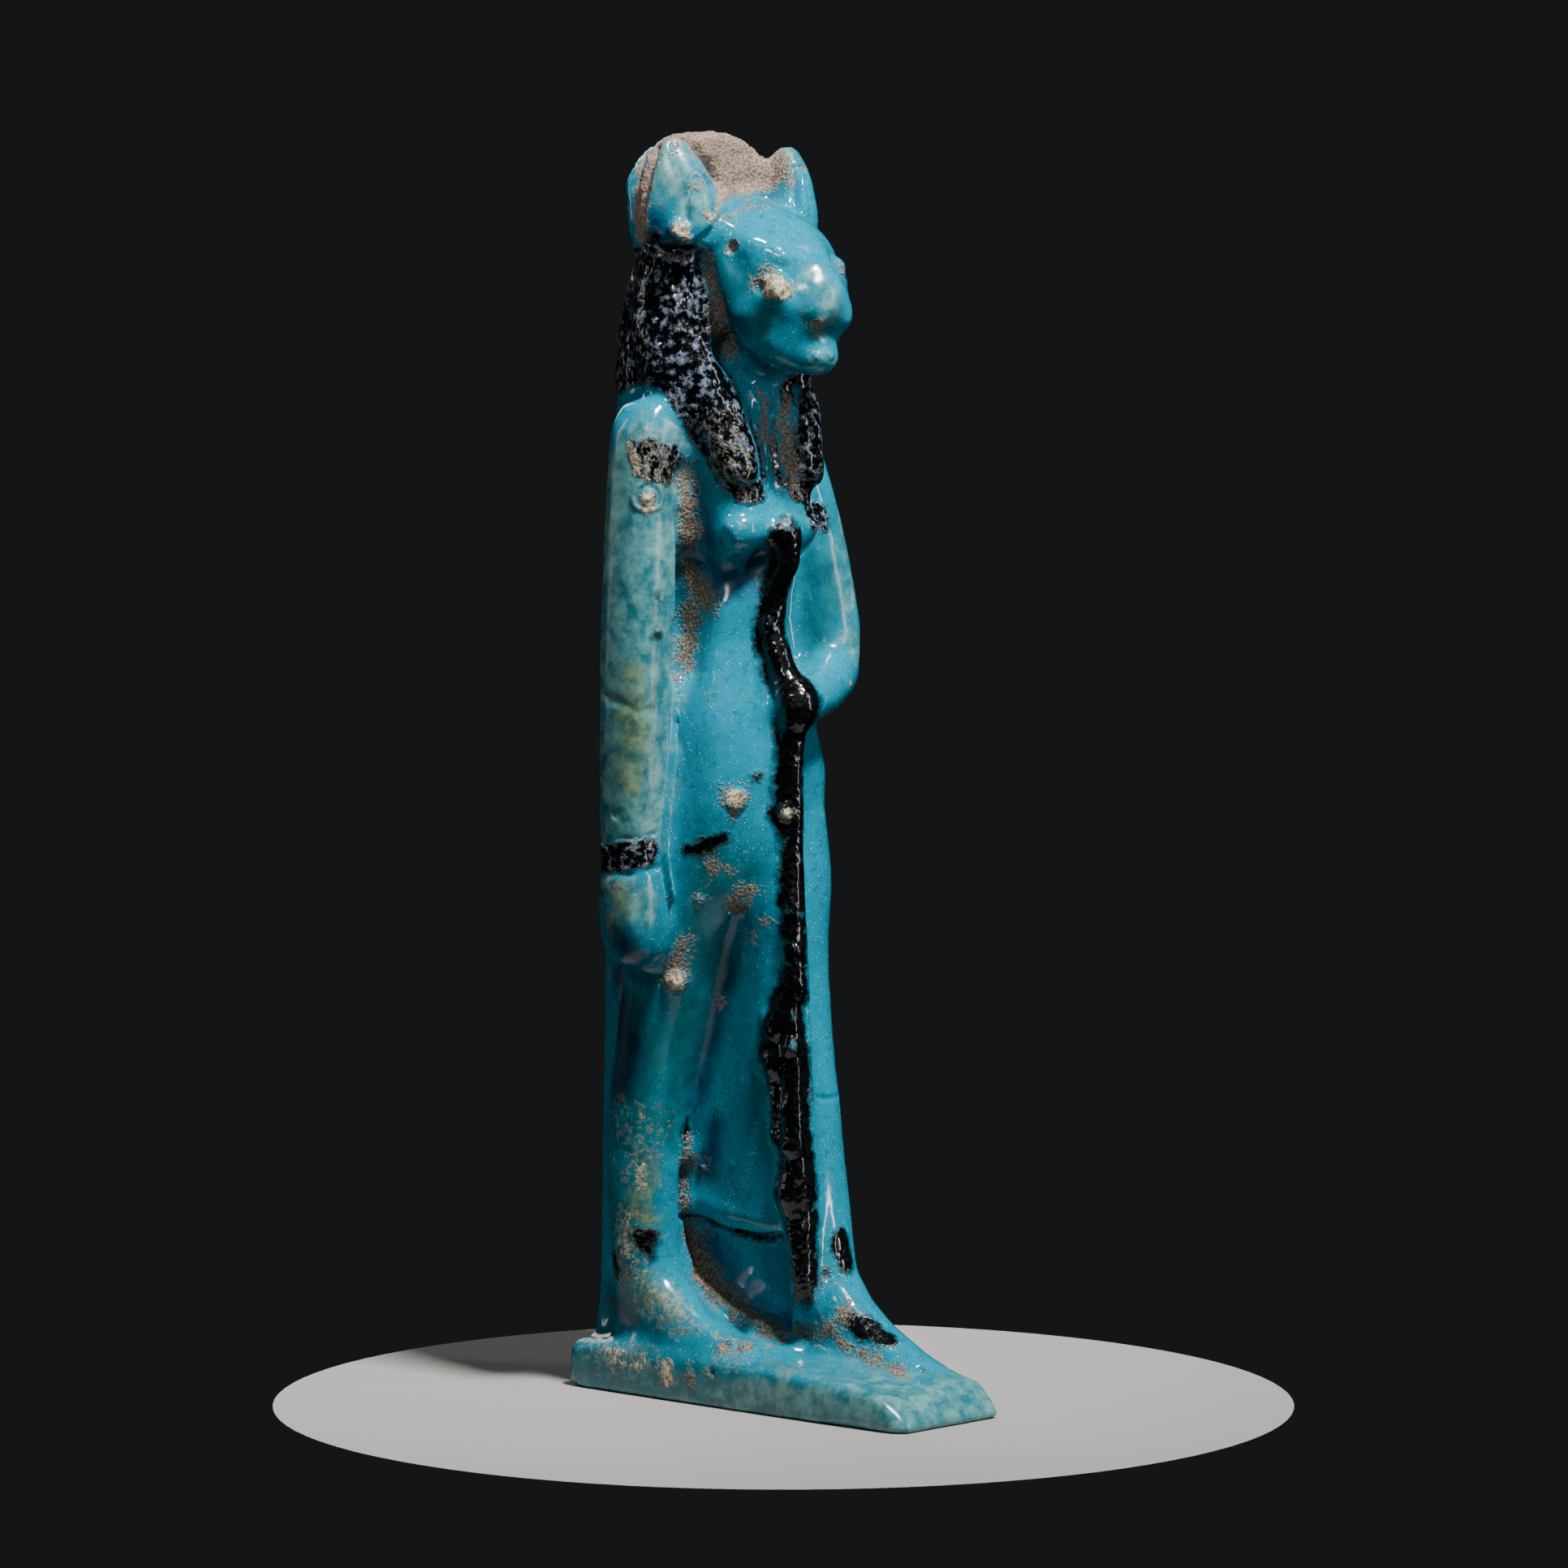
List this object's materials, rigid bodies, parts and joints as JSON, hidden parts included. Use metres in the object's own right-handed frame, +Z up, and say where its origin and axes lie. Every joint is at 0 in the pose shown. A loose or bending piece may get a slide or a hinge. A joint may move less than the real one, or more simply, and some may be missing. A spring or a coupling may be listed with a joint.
{
  "type": "sekhmet figure",
  "caption": "Small glazed faience figure of a standing lion-headed goddess with a papyrus sceptre, a back pillar and a plinth.",
  "frame": {"origin": "centre of the plinth's underside, before its front was worn", "axes": "+Z up, -Y the way the figure faces, +X to the figure's left"},
  "size_m": [0.0174, 0.0268, 0.0744],
  "materials": {
    "faience": "glossy turquoise glaze with black manganese glaze on wig, sceptre and bands, worn, with soil in the recesses"
  },
  "bodies": {
    "root": {"sekhmet_figure": "faience"}
  },
  "joints": []
}
